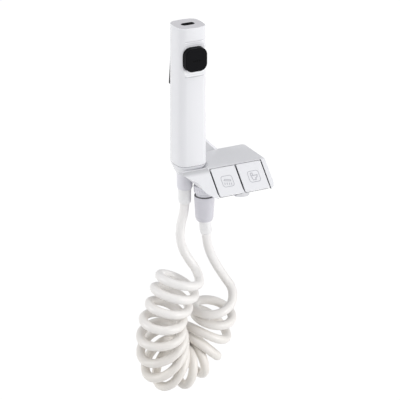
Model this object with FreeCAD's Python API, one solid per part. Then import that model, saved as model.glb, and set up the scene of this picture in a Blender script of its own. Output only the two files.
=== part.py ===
# Handheld bidet shower: a two-key wall valve, a square handset that stands in its fork, and a coiled hose.
# Millimetres. +X runs to the right along the keys, +Y into the wall, +Z up.
# The origin is the wall inlet's axis where the inlet nipple leaves the valve's back face.
import FreeCAD, Part
import math
import os

os.makedirs("parts", exist_ok=True)
V = FreeCAD.Vector
X_AXIS = V(1, 0, 0)
Y_AXIS = V(0, 1, 0)
Z_AXIS = V(0, 0, 1)

# Standard thread and general clearances
g_half_r = 10.48
bore_r = 5.0
running_gap = 0.05
seat_gap = 0.3
far = 200.0

# Valve body: side profile, ends and wing
body_right = 43.0
wing_tip_x = -66.0
crease_y = -54.0
top_z = 14.0
panel_drop = 27.5
base_z = -15.5
front_lip = 1.4
housing_wall = 2.4
crease_round = 3.5
end_round = 7.0
low_corner_round = 9.0
edge_round = 1.6

# Keys
key_left = -32.5
key_pitch = 35.0
key_slit = 1.9
key_right_slit = 1.4
key_skirt_inset = 1.3
key_length = 38.0
key_top_slit = 1.2
key_plate = 2.4
key_skirt = 4.5
key_skirt_length = 30.0
key_turn_deg = 6.0
axle_r = 1.25
axle_depth = 4.6
axle_slope = 3.2
barrel_wall = 1.4

# Waterway casting
pipe_y = -31.0
pipe_z = -2.0
pipe_r = 8.0
neck_r = 8.6
neck_top = 5.4
inlet_length = 12.0
inlet_flange_r = 11.2
inlet_neck_r = 9.8
back_recess_r = 14.0
back_recess = 0.6
hose_outlet_x = -26.4
tank_outlet_x = 23.0
collar_r = 13.0
collar_top = -16.2
collar_bottom = -26.0
male_top = -29.0
male_length = 12.0
tank_collar_r = 11.6
tank_collar_bottom = -23.0
tank_male_length = 14.0

# Cartridges and stems
cartridge_r = 6.0
cartridge_nose_r = 4.0
cartridge_flange_r = 8.0
cartridge_mouth = -44.0
stem_r = 2.0
stem_head_r = 3.2
stem_tip_y = -58.0
stem_travel_gap = 0.3

# Hose fittings below the valve
nut_top_r = 12.4
nut_low_r = 11.1
nut_top = -29.6
nut_length = 32.0
neck_ring_high = 0.9
cuff_low_r = 7.4
cuff_low_length = 26.8
cuff_low_lean = 5.0

# Handset
handset_x = -46.0
handset_y = -26.5
handset_foot_z = 17.0
handset_length = 171.0
foot_half = 19.2
head_half = 18.4
foot_corner = 10.0
head_corner = 10.0
side_r = 60.0
shell_wall = 2.2
tail_back = 9.0
tail_r = 9.7
tail_top = -2.0
tail_nut_length = 20.0
fork_gap = 0.4
slot_ease = 0.2
dish_front = -49.9
dish_side = 2.6
cuff_up_r = 7.75
cuff_up_end = -41.0

# Front button and its scoop
button_below_top = 37.6
button_half_x = 13.9
button_half_z = 14.2
button_corner = 9.0
button_proud = 5.0
button_gap = 0.35
button_travel = 2.0
scoop_height = 43.0
scoop_depth = 2.6
scoop_step = 0.6

# Back lever
lever_tip_below_top = 80.5
lever_pin_below_top = 39.0
lever_top_below_top = 34.0
lever_half = 13.0
lever_tip_proud = 5.9
lever_top_proud = 0.3
lever_thick = 3.0
lever_squeeze_deg = 6.0
lever_drop = 1.5
lever_pin_r = 1.25
lever_pin_inset = 5.0
plunger_below_top = 60.0
plunger_r = 2.5

# Hose
hose_r = 5.6
coil_turn_r = 24.4
coil_y = -32.5


def box(x0, x1, y0, y1, z0, z1):
    return Part.makeBox(x1 - x0, y1 - y0, z1 - z0, V(x0, y0, z0))


def rod(start, axis, radius, length):
    return Part.makeCylinder(radius, length, start, axis)


def tube(start, axis, outer, inner, length):
    return rod(start, axis, outer, length).cut(rod(start, axis, inner, length))


def rounded_edges(corners, place):
    """Closed outline through (u, v, radius) corners: straight sides and tangent arcs."""
    edges = []
    count = len(corners)
    ends = []
    for i in range(count):
        u, v, radius = corners[i]
        pu, pv = corners[i - 1][:2]
        nu, nv = corners[(i + 1) % count][:2]
        back = V(pu - u, pv - v, 0).normalize()
        ahead = V(nu - u, nv - v, 0).normalize()
        here = V(u, v, 0)
        if radius <= 0:
            ends.append((here, None, here))
            continue
        half = back.getAngle(ahead) / 2.0
        reach = radius / math.tan(half)
        inward = (back + ahead).normalize()
        middle = here + inward * (radius / math.sin(half) - radius)
        ends.append((here + back * reach, middle, here + ahead * reach))
    for i in range(count):
        start, middle, stop = ends[i]
        if middle is not None:
            points = [place(p.x, p.y) for p in (start, middle, stop)]
            edges.append(Part.Arc(*points).toShape())
        nxt = ends[(i + 1) % count][0]
        if (nxt - stop).Length > 1e-6:
            edges.append(Part.LineSegment(place(stop.x, stop.y), place(nxt.x, nxt.y)).toShape())
    return edges


def outline(corners, place):
    return Part.Wire(rounded_edges(corners, place))


def prism(corners, place, along):
    """Extrudes a rounded outline by the vector along."""
    return Part.Face(outline(corners, place)).extrude(along)


def on_yz(x):
    return lambda u, v: V(x, u, v)


def on_xz(y):
    return lambda u, v: V(u, y, v)


def on_xy(z):
    return lambda u, v: V(u, v, z)


def rounded_section(cx, cy, half_x, half_y, corner, z):
    corners = [(cx - half_x, cy - half_y, corner), (cx + half_x, cy - half_y, corner),
               (cx + half_x, cy + half_y, corner), (cx - half_x, cy + half_y, corner)]
    return outline(corners, on_xy(z))


def bulged_section(cx, cy, half_x, half_y, corner, bulge_r, z):
    """Rounded square whose sides are shallow outward arcs, tangent to the corner arcs."""
    # Corner centre: inside both side arcs by the corner radius
    u = half_x - corner
    v = half_y - corner
    for step in range(30):
        u = math.sqrt((bulge_r - corner) ** 2 - v ** 2) - (bulge_r - half_x)
        v = math.sqrt((bulge_r - corner) ** 2 - u ** 2) - (bulge_r - half_y)
    turn_x = math.atan2(v, u + bulge_r - half_x)
    turn_y = math.atan2(v + bulge_r - half_y, u)
    meet_x = (u + corner * math.cos(turn_x), v + corner * math.sin(turn_x))
    meet_y = (u + corner * math.cos(turn_y), v + corner * math.sin(turn_y))
    middle = ((turn_x + turn_y) / 2)
    tip = (u + corner * math.cos(middle), v + corner * math.sin(middle))
    edges = []
    for sx, sy, first, last, side in ((1, 1, meet_x, meet_y, (0, half_y)), (-1, 1, meet_y, meet_x, (-half_x, 0)),
                                      (-1, -1, meet_x, meet_y, (0, -half_y)), (1, -1, meet_y, meet_x, (half_x, 0))):
        points = [V(cx + sx * a, cy + sy * b, z) for a, b in (first, tip, last)]
        edges.append(Part.Arc(*points).toShape())
        mirror = (-1, 1) if side[0] == 0 else (1, -1)
        beyond = V(cx + sx * mirror[0] * last[0], cy + sy * mirror[1] * last[1], z)
        edges.append(Part.Arc(points[2], V(cx + side[0], cy + side[1], z), beyond).toShape())
    return Part.Wire(edges)


def loft(sections, ruled=False):
    return Part.makeLoft(sections, True, ruled)


def revolve(corners, centre_x, centre_y):
    """Turns an (r, z) outline about the vertical axis through the centre."""
    wire = outline(corners, lambda u, v: V(centre_x + u, centre_y, v))
    return Part.Face(wire).revolve(V(centre_x, centre_y, 0), Z_AXIS, 360)


def coil_spring(start, axis, radius, wire_half, length, turns):
    """Compression spring of square wire, wound about +Z and then turned to its axis."""
    pitch = (length - 2 * wire_half) / turns
    helix = Part.makeHelix(pitch, length - 2 * wire_half, radius)
    w = wire_half
    ring = [V(radius - w, 0, -w), V(radius + w, 0, -w), V(radius + w, 0, w), V(radius - w, 0, w)]
    section = Part.makePolygon(ring + ring[:1])
    spring = Part.Wire(helix.Edges).makePipeShell([section], True, True)
    spring.translate(V(0, 0, w))
    turn = FreeCAD.Rotation(Z_AXIS, axis)
    spring.Placement = FreeCAD.Placement(start, turn).multiply(spring.Placement)
    return spring


def save(name, shape):
    if shape.ShapeType == "Compound" and len(shape.Solids) == 1:
        shape = shape.Solids[0]
    shape.exportStep("parts/%s.step" % name)
    note = "ok" if shape.isValid() else "NOT VALID"
    print("%-22s solids %d  volume %10.1f  %s" % (name, len(shape.Solids), shape.Volume, note))


# Directions on the sloping front: down is along the slope, out is its outward normal
SLOPE_DOWN = V(0, -math.sqrt(0.5), -math.sqrt(0.5))
SLOPE_OUT = V(0, -math.sqrt(0.5), math.sqrt(0.5))
CREASE = V(0, crease_y, top_z)


def on_slope(x, down, out):
    """Point at x, a distance down the slope and a height out of it."""
    return CREASE + V(x, 0, 0) + SLOPE_DOWN * down + SLOPE_OUT * out


# Places worked out from the sizes above
lip_y = crease_y - panel_drop
lip_z = top_z - panel_drop
keys_right = key_left + 2 * key_pitch
axle_point = on_slope(0, axle_slope, -axle_depth)
handset_top = handset_foot_z + handset_length
tail_y = handset_y + tail_back
button_z = handset_top - button_below_top
lever_pin_z = handset_top - lever_pin_below_top
lever_tip_z = handset_top - lever_tip_below_top
lever_top_z = handset_top - lever_top_below_top
plunger_z = handset_top - plunger_below_top


def handset_half(z):
    """Half width of the square handset at a height: it widens evenly towards its foot."""
    share = (z - handset_foot_z) / handset_length
    return foot_half + (head_half - foot_half) * share


def handset_corner(z):
    share = (z - handset_foot_z) / handset_length
    return foot_corner + (head_corner - foot_corner) * share


# Bowl of the handset's foot: height, half width, front, back and corner radius of each section
tail_bowl = [
    (handset_foot_z, foot_half, handset_y - foot_half, handset_y + foot_half, foot_corner),
    (12.5, 17.4, -44.2, -8.0, 10.0),
    (7.0, 15.0, -39.0, -8.2, 10.0),
    (2.5, 12.0, -31.0, -8.3, 9.5),
    (tail_top, tail_r, tail_y - tail_r, tail_y + tail_r, tail_r - 0.1),
]


def bowl_sections(grow):
    sections = []
    for z, half, front, back, corner in tail_bowl:
        cy = (front + back) / 2.0
        half_y = (back - front) / 2.0
        sections.append(bulged_section(handset_x, cy, half + grow, half_y + grow, corner + grow * 0.9, side_r, z))
    return sections


def bowl_entry(grow):
    """The bowl's front and back carried on straight to the left, where the handset's foot slides in."""
    sections = []
    for z, half, front, back, corner in tail_bowl:
        sections.append(outline([(handset_x - 40, front - grow, 0), (handset_x, front - grow, 0),
                                 (handset_x, back + grow, 0), (handset_x - 40, back + grow, 0)], on_xy(z)))
    return loft(sections)


def valve_cover_outline():
    """Outer form of the cover: side profile, plan and front outline cut each other."""
    side = prism([(0, base_z, 1.0), (0, top_z, 1.5), (crease_y, top_z, crease_round), (lip_y, lip_z, 1.0),
                  (lip_y + front_lip, lip_z - front_lip, 0.8), (lip_y + 8.0, base_z, 0)],
                 on_yz(wing_tip_x - 5), V(body_right - wing_tip_x + 10, 0, 0))
    plan = prism([(body_right, 0, end_round), (body_right, lip_y - 5, 0), (wing_tip_x, lip_y - 5, 0),
                  (wing_tip_x, crease_y + 1.5, 1.2), (wing_tip_x + 9, crease_y + 12, 3.0),
                  (handset_x - 4, -12, 0), (handset_x - 4, 0, 2.0)],
                 on_xy(base_z - 5), V(0, 0, top_z - base_z + 10))
    # The wing's lower edge sweeps up from under the keys to the tip
    wing_edge = [(key_left - 1.5, lip_z - 0.9), (-39.5, -11.6), (-43.6, -9.0), (-46.5, -6.5), (-48.6, -3.5),
                 (-50.4, 0.0), (-52.4, 2.9), (-55.3, 5.0), (-58.6, 6.6), (-62.3, 8.8), (wing_tip_x, 11.2)]
    points = [V(u, 0, v) for u, v in wing_edge]
    sweep = Part.BSplineCurve()
    sweep.interpolate(points)
    below = lip_z - 8
    straight = [V(wing_tip_x, 0, 11.2), V(wing_tip_x - 8, 0, 11.2), V(wing_tip_x - 8, 0, below),
                V(key_left - 1.5, 0, below), points[0]]
    edges = [sweep.toShape()]
    for a, b in zip(straight, straight[1:]):
        edges.append(Part.LineSegment(a, b).toShape())
    away = Part.Face(Part.Wire(edges)).extrude(V(0, 100, 0))
    away.translate(V(0, -95, 0))
    front = prism([(wing_tip_x - 10, top_z + 5, 0), (wing_tip_x - 10, below, 0),
                   (body_right, below, 0), (body_right, top_z, 2.5), (body_right - 9, top_z + 5, 0)],
                  on_xz(-95), V(0, 100, 0))
    cover = side.common(plan).common(front)
    # Lower right corner of the front panel is well rounded
    corner = low_corner_round
    block = box(body_right - corner, body_right + 1, -95, lip_y + 20, lip_z - 6, lip_z + corner * 0.75)
    knob = rod(V(body_right - corner, -95, lip_z + corner * 0.75), Y_AXIS, corner, 95)
    cover = cover.cut(block.cut(knob))
    return cover.cut(away)


def buttress():
    """Upright behind the handset, thick at the handset and thin at its foot."""
    back_y = 0.0
    front_y = handset_y + foot_half + seat_gap
    plate = prism([(6.5, top_z - 2, 0), (6.5, top_z - 0.5, 0), (-23, 43.5, 9.0), (-36, 46, 6.0), (-53.5, 46, 7.0),
                   (-53.5, 30, 8.0), (handset_x - 4, top_z + 2, 3.0), (handset_x - 4, top_z - 6, 0), (6.5, top_z - 6, 0)],
                  on_xz(front_y), V(0, back_y - front_y, 0))
    slant = prism([(-27.5, front_y - 1, 0), (12, front_y - 1, 0), (12, back_y - 1.6, 0), (4, back_y - 1.6, 0)],
                  on_xy(top_z), V(0, 0, 60))
    return plate.cut(slant)


def make_valve_housing():
    cover = valve_cover_outline()
    pocket = loft(bowl_sections(fork_gap)).fuse(bowl_entry(fork_gap))
    # Dished rim in front of the handset and at its right
    rim_y = (dish_front + handset_y + foot_half) / 2
    rim_half = (handset_y + foot_half - dish_front) / 2
    z, half, front, back, corner = tail_bowl[1]
    dish = loft([bulged_section(handset_x, (front + back) / 2, half - 0.8, (back - front) / 2 - 1.0, corner, side_r, 9.5),
                 bulged_section(handset_x, rim_y, foot_half + dish_side, rim_half, 15.0, side_r, top_z + 0.1)], True)
    pocket = pocket.fuse(dish)
    slot_half = tail_r + fork_gap + slot_ease
    slot = rounded_section(handset_x - 15, tail_y, slot_half + 15, slot_half, slot_half - 0.1, base_z - 5)
    pocket = pocket.fuse(Part.Face(slot).extrude(V(0, 0, tail_top - base_z + 5.5)))
    cover = cover.cut(pocket)
    cover = cover.fuse(buttress())
    # Room for the waterway, open below
    main_left = -27.0
    main_right = body_right - housing_wall
    inner_top = top_z - housing_wall
    room = prism([(-housing_wall, base_z - 5, 0), (-housing_wall, inner_top, 0.8),
                  (crease_y + 1.2, inner_top, 2.0), (lip_y + 4.2, lip_z - 0.9, 0), (lip_y + 4.2, base_z - 5, 0)],
                 on_yz(main_left), V(main_right - main_left, 0, 0))
    column = revolve([(0, base_z - 5, 0), (neck_r + 1.0, base_z - 5, 0), (neck_r + 1.0, base_z + 2.2, 0),
                      (neck_r + 0.5, base_z + 2.2, 0), (neck_r + 0.5, pipe_z + 1.2, 0),
                      (5.0, neck_top + 0.4, 0), (0, neck_top + 0.4, 0)], hose_outlet_x, pipe_y)
    cover = cover.cut(room).cut(column)
    # Bay of the two keys, cut through the sloping front
    bay = prism([(crease_y + 7.0, base_z - 6, 0), (crease_y + 7.0, inner_top, 2.0), (crease_y + 1.2, inner_top, 1.5),
                 (on_slope(0, key_top_slit * 0.3, -1.6).y, on_slope(0, key_top_slit * 0.3, -1.6).z, 0),
                 (on_slope(0, key_top_slit * 0.3, 4).y, on_slope(0, key_top_slit * 0.3, 4).z, 0),
                 (lip_y - 8, lip_z, 0), (lip_y - 8, base_z - 6, 0)],
                on_yz(key_left), V(2 * key_pitch, 0, 0))
    cover = cover.cut(bay)
    # Seats of the key axle in the wing and in the right end
    axle = rod(V(key_left - 4.0, axle_point.y, axle_point.z), X_AXIS, axle_r, keys_right - key_left + 8.0)
    ear = rod(V(keys_right, axle_point.y, axle_point.z), X_AXIS, axle_r + 2.4, body_right - housing_wall - keys_right)
    rib = box(keys_right, main_right + 0.1, axle_point.y - 1.2, axle_point.y + 1.2, axle_point.z, inner_top + 0.1)
    cover = cover.fuse(ear.fuse(rib)).cut(axle)
    # Wall opening of the inlet
    cover = cover.cut(rod(V(0, -8, 0), Y_AXIS, g_half_r + 0.3, 12))
    cover = cover.cut(rod(V(0, -back_recess, 0), Y_AXIS, back_recess_r, back_recess + 1))
    # Screw pillars under the top
    for x, y in screw_places:
        pillar = rod(V(x, y, base_z + base_thick), Z_AXIS, pillar_r, inner_top - base_z - base_thick + 0.5)
        cover = cover.fuse(pillar)
    for x, y in screw_places:
        cover = cover.cut(rod(V(x, y, base_z + base_thick), Z_AXIS, screw_r, screw_length))
    return cover.removeSplitter()


# Under cover and its screws
base_thick = 2.0
base_front_y = -62.0
pillar_r = 3.4
screw_r = 1.25
screw_length = 9.0
screw_head_r = 2.5
screw_head = 1.5
screw_places = [(body_right - 7.0, -9.0), (body_right - 7.0, -44.0), (-17.0, -8.5), (-1.5, -44.5)]


def make_valve_base():
    left = -26.7
    right = body_right - housing_wall - seat_gap
    plate = prism([(left, -housing_wall - seat_gap, 2.0), (right, -housing_wall - seat_gap, 5.0),
                   (right, base_front_y, 3.0), (left, base_front_y, 3.0)],
                  on_xy(base_z), V(0, 0, base_thick))
    plate = plate.fuse(rod(V(hose_outlet_x, pipe_y, base_z), Z_AXIS, neck_r + 0.8, base_thick))
    # Up-turned front edge behind the keys
    lip = box(left + 6.0, right - 3.0, base_front_y, base_front_y + 1.6, base_z, base_z + 4.0)
    plate = plate.fuse(lip)
    for x in (hose_outlet_x, tank_outlet_x):
        plate = plate.cut(rod(V(x, pipe_y, base_z - 1), Z_AXIS, neck_r + 0.2, 10))
    for x, y in screw_places:
        plate = plate.cut(rod(V(x, y, base_z - 1), Z_AXIS, screw_r + 0.2, 10))
    return plate.removeSplitter()


def make_base_screws():
    screws = []
    for x, y in screw_places:
        head = rod(V(x, y, base_z - screw_head), Z_AXIS, screw_head_r, screw_head)
        head = head.cut(box(x - 2.0, x + 2.0, y - 0.4, y + 0.4, base_z - screw_head - 1, base_z - screw_head + 0.8))
        shank = rod(V(x, y, base_z), Z_AXIS, screw_r, base_thick + screw_length - 0.5)
        screws.append(head.fuse(shank))
    return Part.Compound(screws)


def outlet(x, collar, collar_low, male_low, ribs):
    """Vertical outlet: neck, collar with a ribbed skirt, and G1/2 male end."""
    neck = revolve([(0, collar_top, 0), (neck_r, collar_top, 0), (neck_r, pipe_z + 1.0, 0), (4.6, neck_top, 0),
                    (0, neck_top, 0)], x, pipe_y)
    skirt = revolve([(0, collar_top, 0), (collar - 1.0, collar_top, 0), (collar, collar_top - 1.0, 0),
                     (collar - 0.3, collar_low + 1.5, 0), (collar - 1.8, collar_low, 0), (0, collar_low, 0)],
                    x, pipe_y)
    for i in range(ribs):
        angle = 2 * math.pi * i / ribs
        centre = V(x + (collar + 0.35) * math.cos(angle), pipe_y + (collar + 0.35) * math.sin(angle), collar_low - 1)
        skirt = skirt.cut(rod(centre, Z_AXIS, 1.0, collar_top - collar_low - 0.5))
    male = rod(V(x, pipe_y, male_low), Z_AXIS, g_half_r, collar_low - male_low)
    return neck.fuse(skirt).fuse(male)


def make_manifold():
    right = tank_outlet_x + pipe_r + 1.5
    body = rod(V(hose_outlet_x, pipe_y, pipe_z), X_AXIS, pipe_r, right - hose_outlet_x)
    body = body.fuse(outlet(hose_outlet_x, collar_r, collar_bottom, male_top - male_length, 28))
    body = body.fuse(outlet(tank_outlet_x, tank_collar_r, tank_collar_bottom,
                            tank_collar_bottom - tank_male_length, 0))
    # Wall inlet with its flange against the cover's back
    body = body.fuse(rod(V(0, pipe_y, 0), Y_AXIS, pipe_r + 1.0, -pipe_y - housing_wall))
    body = body.fuse(rod(V(0, -housing_wall - 4.0, 0), Y_AXIS, inlet_flange_r, 3.8))
    body = body.fuse(rod(V(0, -housing_wall - 1, 0), Y_AXIS, inlet_neck_r, housing_wall + 2))
    body = body.fuse(rod(V(0, 0, 0), Y_AXIS, g_half_r, inlet_length))
    for x in cartridge_x:
        body = body.fuse(rod(V(x, cartridge_mouth, pipe_z), Y_AXIS, cartridge_flange_r, pipe_y - cartridge_mouth))
    # Water passages
    body = body.cut(rod(V(hose_outlet_x, pipe_y, pipe_z), X_AXIS, bore_r, right - hose_outlet_x + 1))
    body = body.fuse(rod(V(right - 4, pipe_y, pipe_z), X_AXIS, bore_r, 4))
    body = body.cut(rod(V(hose_outlet_x, pipe_y, male_top - male_length - 1), Z_AXIS, bore_r + 0.2,
                        pipe_z + bore_r - male_top + male_length + 1))
    body = body.cut(rod(V(tank_outlet_x, pipe_y, tank_collar_bottom - tank_male_length - 1), Z_AXIS, bore_r + 0.2,
                        pipe_z + bore_r - tank_collar_bottom + tank_male_length + 1))
    body = body.cut(rod(V(0, pipe_y, 0), Y_AXIS, bore_r, inlet_length - pipe_y + 1))
    body = body.cut(rod(V(0, inlet_length - filter_depth, 0), Y_AXIS, filter_r, filter_depth + 1))
    for x in cartridge_x:
        body = body.cut(rod(V(x, cartridge_mouth - 1, pipe_z), Y_AXIS, cartridge_r, pipe_y - cartridge_mouth + 1))
    return body


# Mesh filter in the inlet
filter_r = 7.5
filter_depth = 5.0

# One cartridge behind the middle of each key
cartridge_x = [key_left + key_pitch * 0.5, key_left + key_pitch * 1.5]


def make_inlet_filter():
    start = V(0, inlet_length - filter_depth, 0)
    cup = rod(start, Y_AXIS, filter_r, filter_depth - 0.2)
    cup = cup.cut(rod(start + V(0, 1.0, 0), Y_AXIS, filter_r - 1.2, filter_depth))
    for row in (-3, -1, 1, 3):
        for col in (-3, -1, 1, 3):
            if abs(row) + abs(col) < 6:
                cup = cup.cut(box(col - 0.7, col + 0.7, start.y - 1, start.y + 2, row - 0.7, row + 0.7))
    return cup


def make_key(index):
    """Piano key: outer plate, skirt ribs, hinge barrel and the post that meets its stem."""
    left = key_left + key_pitch * index + (key_slit if index == 0 else key_slit / 2)
    right = key_left + key_pitch * (index + 1) - (key_right_slit if index == 1 else key_slit / 2)
    width = right - left
    start = key_top_slit
    corner = 1.2
    plate = prism([(0, start, corner), (width, start, corner), (width, key_length, 2.2), (0, key_length, 2.2)],
                  lambda u, v: on_slope(left + u, v, -key_plate), SLOPE_OUT * key_plate)
    top_edges = [e for e in plate.Edges if abs((e.CenterOfMass - CREASE).dot(SLOPE_OUT)) < 0.01]
    plate = plate.makeFillet(0.6, top_edges)
    for x in (left + key_skirt_inset, right - key_skirt_inset - 1.6):
        skirt = prism([(start + 0.6, -key_plate + 0.5, 0), (start + key_skirt_length, -key_plate + 0.5, 0),
                       (start + key_skirt_length - 4, -key_plate - key_skirt, 2.0),
                       (start + 2.5, -key_plate - key_skirt, 2.0)],
                      lambda u, v: on_slope(x, u, v), V(1.6, 0, 0))
        plate = plate.fuse(skirt)
    centre = V(left + 0.4, axle_point.y, axle_point.z)
    barrel_r = axle_r + barrel_wall
    barrel = rod(centre, X_AXIS, barrel_r, width - 0.8)
    web = prism([(axle_slope - 1.9, -axle_depth, 0), (axle_slope + 1.9, -axle_depth, 0),
                 (axle_slope + 1.9, -key_plate + 0.4, 0), (axle_slope - 1.9, -key_plate + 0.4, 0)],
                lambda u, v: on_slope(left + 0.4, u, v), V(width - 0.8, 0, 0))
    key = plate.fuse(barrel).fuse(web)
    # Post behind the plate, level with the stem
    tip_y = stem_tip_y - stem_travel_gap
    post_root = crease_y - (top_z - pipe_z) + key_plate * math.sqrt(2.0) - 1.0
    post = rod(V(cartridge_x[index], post_root, pipe_z), Y_AXIS, 3.0, tip_y - post_root)
    face = prism([(0, -1.0, 0), (key_length, -1.0, 0), (key_length, 12.0, 0), (0, 12.0, 0)],
                 lambda u, v: on_slope(left, u, v), V(width, 0, 0))
    key = key.fuse(post.cut(face))
    key = key.cut(rod(centre - V(1, 0, 0), X_AXIS, axle_r + running_gap, width + 2))
    return key.removeSplitter()


def make_key_axle():
    start = V(key_left - 4.0, axle_point.y, axle_point.z)
    return rod(start, X_AXIS, axle_r, keys_right - key_left + 8.0)


def make_cartridge(x):
    flange = 3.0
    nose = 6.0
    back = pipe_y - pipe_r + 1.0
    body = rod(V(x, cartridge_mouth, pipe_z), Y_AXIS, cartridge_r, back - cartridge_mouth)
    hexagon = []
    for i in range(6):
        angle = math.pi / 3 * i
        hexagon.append((x + 8.6 * math.cos(angle), pipe_z + 8.6 * math.sin(angle), 0.8))
    nut = prism(hexagon, on_xz(cartridge_mouth - flange), V(0, flange, 0))
    front = rod(V(x, cartridge_mouth - flange - nose + 3.0, pipe_z), Y_AXIS, cartridge_nose_r, nose - 3.0)
    body = body.fuse(nut).fuse(front)
    return body.cut(rod(V(x, cartridge_mouth - flange - nose, pipe_z), Y_AXIS, stem_r + running_gap, 40)).removeSplitter()


seal_y = cartridge_mouth + 3.0
seal_half = 0.9
seal_groove_r = 1.45


def make_stem(x):
    head = rod(V(x, stem_tip_y, pipe_z), Y_AXIS, stem_head_r, 1.6)
    shank = rod(V(x, stem_tip_y, pipe_z), Y_AXIS, stem_r, 22.0)
    shank = shank.cut(tube(V(x, seal_y - seal_half, pipe_z), Y_AXIS, stem_r + 1, seal_groove_r, 2 * seal_half))
    return head.fuse(shank)


def make_stem_seal(x):
    return tube(V(x, seal_y - seal_half + 0.1, pipe_z), Y_AXIS, stem_r + running_gap, seal_groove_r, 2 * seal_half - 0.2)


def make_key_spring(x):
    start = stem_tip_y + 1.6
    stop = cartridge_mouth - 3.0 - 3.0
    return coil_spring(V(x, start, pipe_z), Y_AXIS, stem_r + 0.75, 0.3, stop - start, 3.5)


def make_neck_ring():
    high = nut_top + neck_ring_high
    return revolve([(g_half_r, nut_top, 0), (nut_top_r - 0.2, nut_top, 0), (nut_top_r - 0.2, high, 0.4),
                    (g_half_r, high, 0)], hose_outlet_x, pipe_y)


def make_hose_nut():
    low = nut_top - nut_length
    thread_low = nut_top - 13.0
    bore = cuff_low_r + 1.1
    corners = [(g_half_r + 0.07, nut_top, 0), (nut_top_r, nut_top, 0.5), (nut_low_r, low + 4.5, 3.5),
               (bore + 1.0, low, 0.6), (bore, low, 0), (bore, thread_low - 2.0, 0),
               (g_half_r + 0.07, thread_low - 2.0, 0)]
    return revolve(corners, hose_outlet_x, pipe_y)


washer_top = male_top - male_length
washer_thick = 2.0
tailpiece_low = washer_top - washer_thick - 9.0


def make_outlet_washer():
    return tube(V(hose_outlet_x, pipe_y, washer_top - washer_thick), Z_AXIS, g_half_r - 0.3, bore_r, washer_thick)


def make_hose_tailpiece():
    top = washer_top - washer_thick
    low = tailpiece_low
    return revolve([(3.2, top, 0), (g_half_r - 0.2, top, 0), (g_half_r - 0.2, nut_top - 15.0, 0),
                    (6.4, nut_top - 15.0, 0), (6.4, low, 0), (3.2, low, 0)], hose_outlet_x, pipe_y)


def make_hose_cuff(centre_x, centre_y, radius, top, low):
    return revolve([(3.0, top, 0), (radius, top, 0.4), (radius - 0.15, low + 2.4, 1.0), (hose_r + 0.5, low, 0.3),
                    (3.0, low, 0)], centre_x, centre_y)


def make_lower_cuff():
    """The lower cuff leans a little to the right below the nut, where the hose leaves it."""
    top = tailpiece_low - 0.8
    cuff = make_hose_cuff(hose_outlet_x, pipe_y, cuff_low_r, top, top - cuff_low_length)
    cuff.rotate(V(hose_outlet_x, pipe_y, top), Y_AXIS, -cuff_low_lean)
    neck = tube(V(hose_outlet_x, pipe_y, tailpiece_low - 1.8), Z_AXIS, 6.2, 3.2, 1.8)
    return cuff.fuse(neck)


def make_tail_cone():
    """Foot of the handset: a bowl that narrows from the square tube to the round tail."""
    bowl = loft(bowl_sections(0.0))
    plug_half = foot_half - shell_wall - 0.1
    plug_corner = foot_corner - shell_wall
    plug_r = side_r - shell_wall - 0.1
    plug = loft([bulged_section(handset_x, handset_y, plug_half, plug_half, plug_corner, plug_r, handset_foot_z - 0.5),
                 bulged_section(handset_x, handset_y, plug_half - 0.1, plug_half - 0.1, plug_corner, plug_r,
                                handset_foot_z + 11.0)])
    foot = bowl.fuse(plug)
    # Shadow groove below the tube's front edge
    groove_depth = 1.3
    inner = bulged_section(handset_x, handset_y, foot_half - groove_depth, foot_half - groove_depth,
                           foot_corner - groove_depth, side_r - groove_depth, handset_foot_z - 0.9)
    ring = box(handset_x - 30, handset_x + 30, handset_y - 30, handset_y + 3, handset_foot_z - 0.9, handset_foot_z)
    ring = ring.cut(Part.Face(inner).extrude(V(0, 0, 1.0)))
    foot = foot.cut(ring)
    spigot = rod(V(handset_x, tail_y, tail_top - spigot_length), Z_AXIS, spigot_r, spigot_length + 0.5)
    foot = foot.fuse(spigot)
    foot = foot.cut(rod(V(handset_x, tail_y, tail_top - spigot_length - 1), Z_AXIS, 3.2, spigot_length + 19))
    foot = foot.cut(box(handset_x - 3.2, handset_x + 3.2, handset_y, tail_y, handset_foot_z - 4, handset_foot_z))
    foot = foot.cut(rod(V(handset_x, handset_y, handset_foot_z - 4), Z_AXIS, 3.2, 20))
    foot = foot.cut(rod(V(handset_x, handset_y, handset_foot_z + 7), Z_AXIS, way_r, 20))
    return foot.removeSplitter()


spigot_r = 7.0
spigot_length = 9.0
way_r = 6.5
way_bore_r = 2.8


def make_tail_nut():
    low = tail_top - tail_nut_length
    inner_low = cuff_up_r + 0.05
    return revolve([(spigot_r, tail_top, 0), (tail_r, tail_top, 0), (tail_r - 0.2, low + 3.0, 0),
                    (inner_low + 0.5, low, 0.8), (inner_low, low, 0), (inner_low, tail_top - spigot_length, 0),
                    (spigot_r, tail_top - spigot_length, 0)], handset_x, tail_y)


def shell_loft(inset, z0, z1):
    sections = []
    for z in (z0, z1):
        half = handset_half(z) - inset
        corner = handset_corner(z) - inset * 0.9
        sections.append(bulged_section(handset_x, handset_y, half, half, corner, side_r - inset, z))
    return loft(sections, True)


def rounded_block_y(cx, cz, half_x, half_z, corner, y0, y1):
    corners = [(cx - half_x, cz - half_z, corner), (cx + half_x, cz - half_z, corner),
               (cx + half_x, cz + half_z, corner), (cx - half_x, cz + half_z, corner)]
    return prism(corners, on_xz(y0), V(0, y1 - y0, 0))


cap_inset = 1.1
cap_thick = 2.4
pan_depth = 5.2
face_y = handset_y - handset_half(button_z)


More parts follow.
